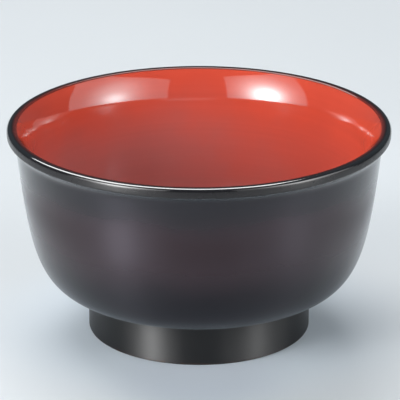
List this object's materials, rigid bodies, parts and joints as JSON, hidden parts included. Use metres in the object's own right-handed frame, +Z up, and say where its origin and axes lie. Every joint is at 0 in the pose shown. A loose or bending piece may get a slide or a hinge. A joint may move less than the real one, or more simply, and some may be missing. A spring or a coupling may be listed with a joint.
{
  "type": "lacquer rice bowl",
  "caption": "Round lacquer rice bowl with a beaded, turned-out black lip, a vermilion inside, a dark satin outside and a straight black foot ring.",
  "frame": {"origin": "on the table, under the middle of the bowl", "axes": "+Z up the bowl's axis; the bowl is the same all round, and the picture looks along +Y"},
  "size_m": [0.12, 0.12, 0.067],
  "materials": {
    "wood": "turned, unfinished",
    "hemp_cloth": "plain weave",
    "ground": "rubbed flat",
    "vermilion_lacquer": "gloss",
    "black_lacquer": "gloss",
    "dark_lacquer": "satin"
  },
  "bodies": {
    "root": {"wood_core": "wood", "foot_ring": "wood", "lip_cloth": "hemp_cloth", "well_cloth": "hemp_cloth", "foot_cloth": "hemp_cloth", "inner_ground": "ground", "outer_ground": "ground", "foot_ground": "ground", "base_ground": "ground", "inner_lacquer": "vermilion_lacquer", "lip_lacquer": "black_lacquer", "outer_lacquer": "dark_lacquer", "foot_lacquer": "black_lacquer", "base_lacquer": "black_lacquer"}
  },
  "joints": []
}
